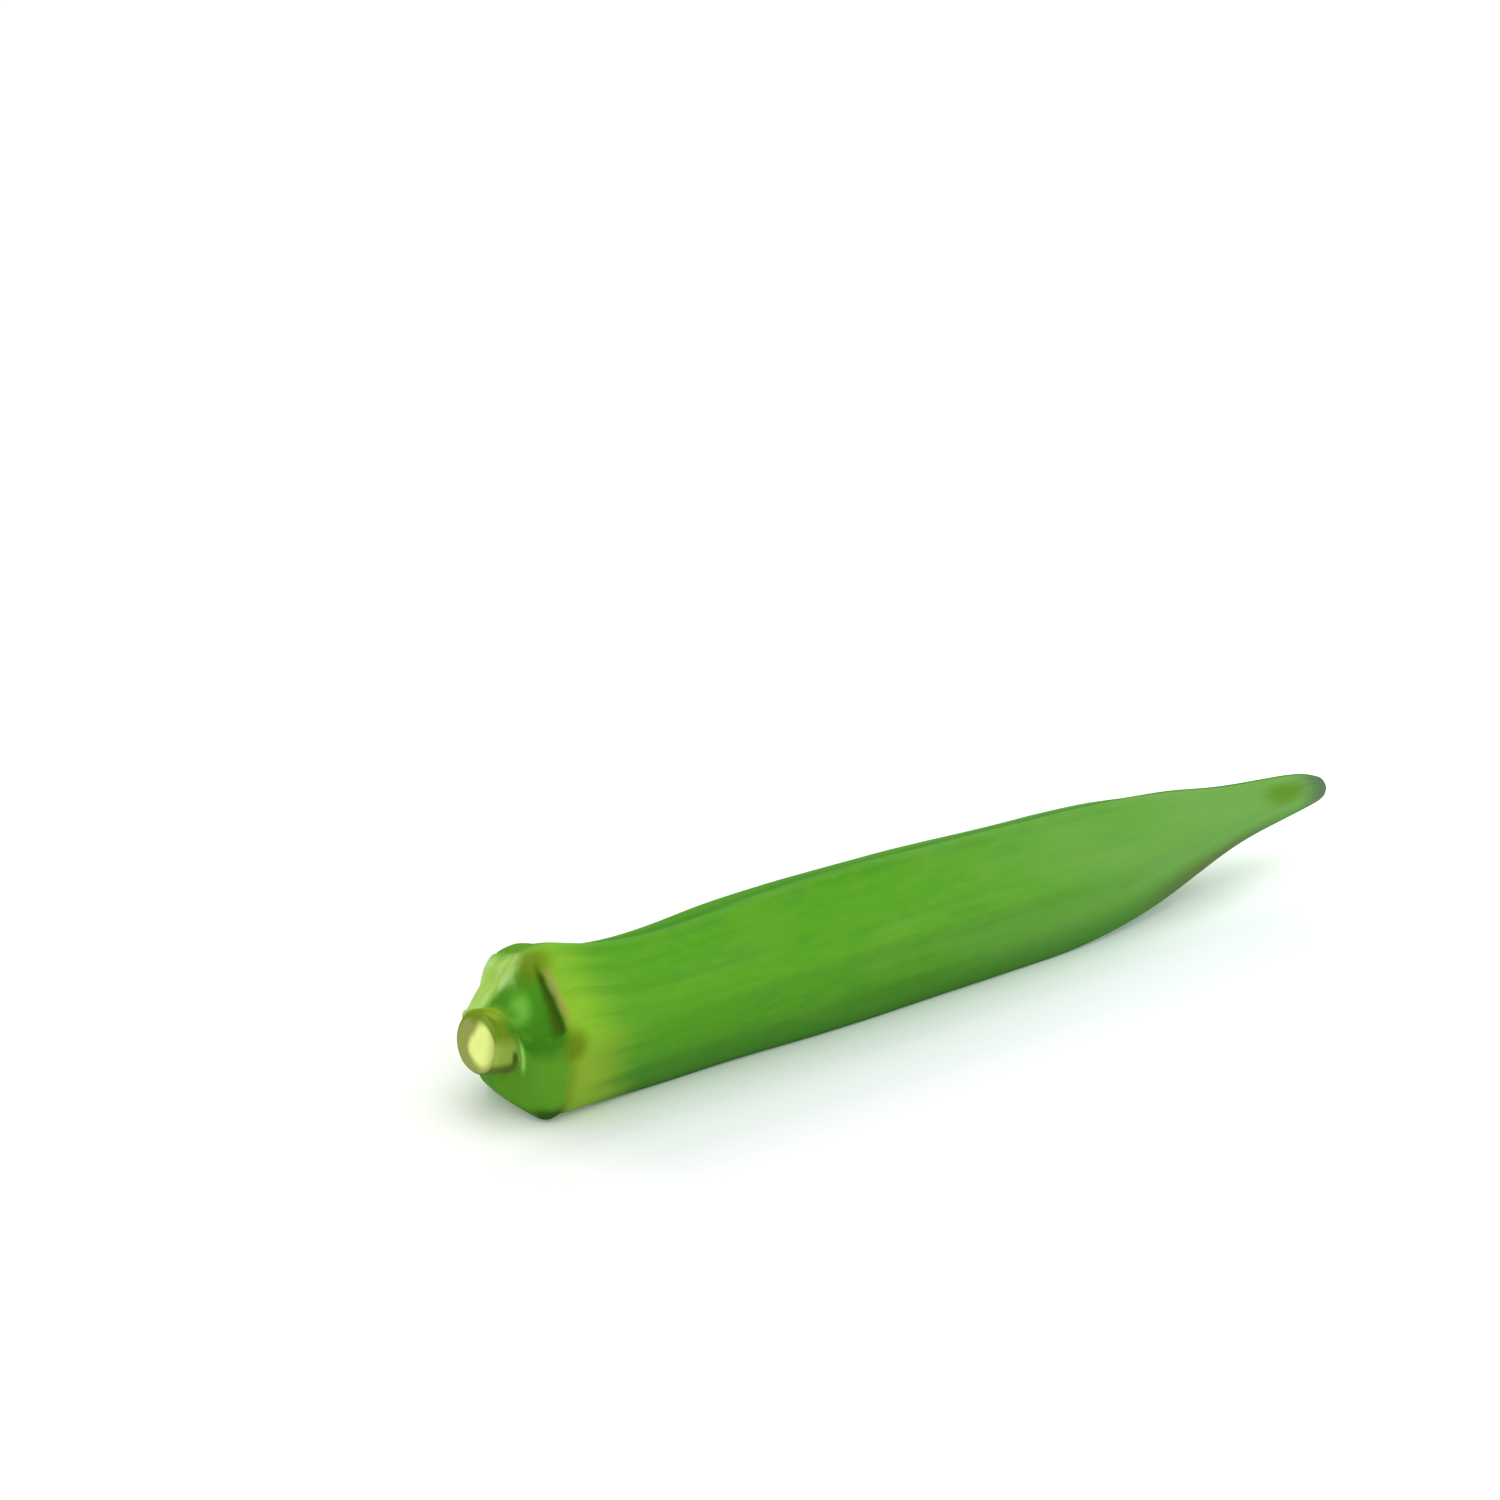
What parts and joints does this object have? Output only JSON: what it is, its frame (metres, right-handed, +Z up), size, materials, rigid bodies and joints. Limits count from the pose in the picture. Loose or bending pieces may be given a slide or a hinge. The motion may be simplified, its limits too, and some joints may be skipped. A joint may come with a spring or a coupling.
{
  "type": "okra pod",
  "caption": "Fresh green okra pod, a slender ridged seed pod that tapers to a blunt tip, with its cap, collar and short cut stalk.",
  "frame": {"origin": "centre of the bounding box's underside, on the surface that the pod lies on", "axes": "+X along the pod from its cut stalk towards its tip, +Z up, +Y to the left when looking along +X"},
  "size_m": [0.1178, 0.0168, 0.0178],
  "materials": {
    "okra_skin": "satin"
  },
  "bodies": {
    "root": {"okra_pod": "okra_skin"}
  },
  "joints": []
}
